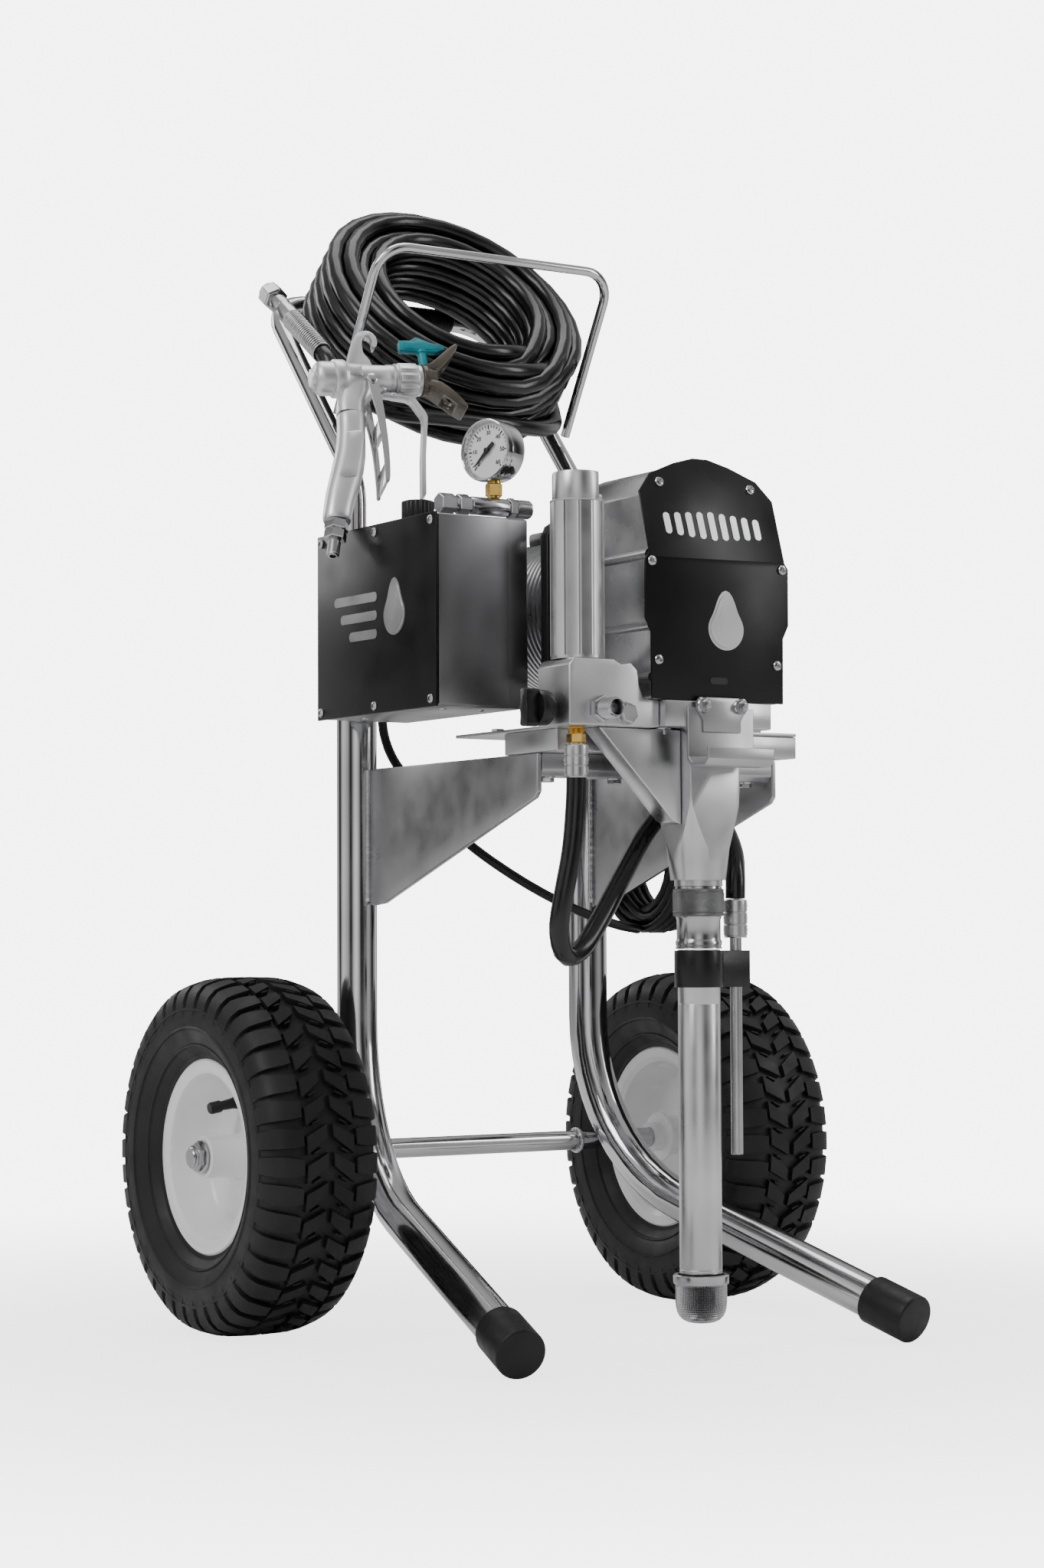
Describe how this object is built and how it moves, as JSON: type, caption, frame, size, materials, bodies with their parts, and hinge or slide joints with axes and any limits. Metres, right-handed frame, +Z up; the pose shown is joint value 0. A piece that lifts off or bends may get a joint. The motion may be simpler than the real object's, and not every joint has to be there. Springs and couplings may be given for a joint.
{
  "type": "airless paint sprayer",
  "caption": "Electric airless paint sprayer on a two-wheeled tube cart, with piston pump, control box, gauge, coiled hose and spray gun.",
  "frame": {"origin": "on the floor, centred under the object's box without its hoses and cord", "axes": "+Z up, -Y the front with the pump, +X the object's left-hand-seen-from-front side, away from the control box; the axle runs along X"},
  "size_m": [0.6264, 0.6365, 1.1133],
  "materials": {
    "black_paint": "satin black",
    "black_plastic": "satin black",
    "black_rubber": "matt",
    "brass": "plain",
    "bronze_plastic": "dark bronze",
    "brushed_steel": "brushed",
    "chrome_tube": "bright chrome plate",
    "grey_sheet": "dark grey brushed sheet",
    "gun_aluminium": "satin, tumbled",
    "hose_rubber": "glossy",
    "machined_aluminium": "machined satin",
    "needle_black": "matt black",
    "teal_plastic": "teal",
    "tyre_rubber": "matt with tread",
    "white_paint": "gloss white"
  },
  "bodies": {
    "cart": {"axle": "chrome_tube", "control_box": "grey_sheet", "control_cover": "black_paint", "cord_peg": "brushed_steel", "cross_channel": "brushed_steel", "filter_bowl": "machined_aluminium", "fluid_manifold": "machined_aluminium", "front_cover": "black_paint", "gauge_body": "chrome_tube", "gauge_stem": "brass", "gear_housing": "machined_aluminium", "gun_body": "gun_aluminium", "gun_handle": "gun_aluminium", "gun_nozzle_nut": "gun_aluminium", "gun_tip_guard": "bronze_plastic", "gun_trigger_guard": "gun_aluminium", "handle_grip": "black_rubber", "handle_tube": "chrome_tube", "hose_coil": "hose_rubber", "hose_end_a": "brushed_steel", "hose_end_b": "brushed_steel", "hose_hoop": "chrome_tube", "hose_tail": "hose_rubber", "left_foot_cap": "black_rubber", "left_frame_tube": "chrome_tube", "left_gusset": "brushed_steel", "motor_body": "machined_aluminium", "motor_flange": "black_paint", "mount_block": "machined_aluminium", "mount_plate": "machined_aluminium", "outlet_fitting": "brushed_steel", "pail_hook": "brushed_steel", "power_cord": "black_rubber", "power_cord_coil": "black_rubber", "power_plug": "black_plastic", "pump_coupling": "brushed_steel", "pump_yoke": "machined_aluminium", "return_fitting": "brass", "return_hose": "hose_rubber", "return_tube": "brushed_steel", "right_foot_cap": "black_rubber", "right_frame_tube": "chrome_tube", "right_gusset": "brushed_steel", "siphon_tube": "machined_aluminium", "strainer": "brushed_steel", "tee_manifold": "brushed_steel", "tube_clamp": "black_paint", "yoke_brace": "machined_aluminium"},
    "left_wheel": {"left_tyre": "tyre_rubber", "left_rim": "white_paint"},
    "right_wheel": {"right_tyre": "tyre_rubber", "right_rim": "white_paint"},
    "pressure_knob": {"pressure_knob": "black_plastic"},
    "gauge_needle": {"gauge_needle": "needle_black"},
    "relief_knob": {"relief_knob": "black_plastic"},
    "crank": {"crank_wheel": "brushed_steel"},
    "piston": {"piston_rod": "chrome_tube"},
    "gun_trigger": {"gun_trigger": "gun_aluminium"},
    "spray_tip": {"gun_spray_tip": "teal_plastic"},
    "gun_swivel": {"gun_swivel": "brushed_steel"}
  },
  "joints": [
    {"name": "left_wheel_spin", "type": "hinge", "parent": "cart", "child": "left_wheel", "pos_m": [-0.2542, 0.1175, 0.165], "axis": [1, 0, 0], "continuous": true},
    {"name": "right_wheel_spin", "type": "hinge", "parent": "cart", "child": "right_wheel", "pos_m": [0.2542, 0.1175, 0.165], "axis": [1, 0, 0], "continuous": true},
    {"name": "pressure_knob_turn", "type": "hinge", "parent": "cart", "child": "pressure_knob", "pos_m": [-0.16, -0.0395, 0.752], "axis": [0, 0, -1], "range_deg": [0, 270]},
    {"name": "gauge_needle_turn", "type": "hinge", "parent": "cart", "child": "gauge_needle", "pos_m": [-0.08306, -0.03535, 0.8155], "axis": [0.9539, 0.3, 0], "range_deg": [0, 270], "stiffness_Nm_per_rad": 0.001, "springref_deg": -17.19},
    {"name": "relief_knob_turn", "type": "hinge", "parent": "cart", "child": "relief_knob", "pos_m": [-0.166, -0.2485, 0.56], "axis": [-1, 0, 0], "range_deg": [0, 90]},
    {"name": "crank_turn", "type": "hinge", "parent": "cart", "child": "crank", "pos_m": [0, -0.235, 0.64], "axis": [0, -1, 0], "continuous": true},
    {"name": "piston_slide", "type": "slide", "parent": "cart", "child": "piston", "axis": [0, 0, 1], "range_m": [-0.02, 0.02]},
    {"name": "gun_trigger_pull", "type": "hinge", "parent": "cart", "child": "gun_trigger", "pos_m": [-0.13029, 0.08494, 0.90614], "axis": [0.2242, 0.8955, -0.3845], "range_deg": [0, 10], "stiffness_Nm_per_rad": 1, "springref_deg": -11.46},
    {"name": "spray_tip_turn", "type": "hinge", "parent": "cart", "child": "spray_tip", "pos_m": [-0.08451, 0.07705, 0.91446], "axis": [0.0617, 0.3807, 0.9226], "range_deg": [0, 180]},
    {"name": "gun_swivel_turn", "type": "hinge", "parent": "cart", "child": "gun_swivel", "pos_m": [-0.2054, 0.03219, 0.73947], "axis": [-0.2958, -0.3134, -0.9024], "continuous": true}
  ]
}
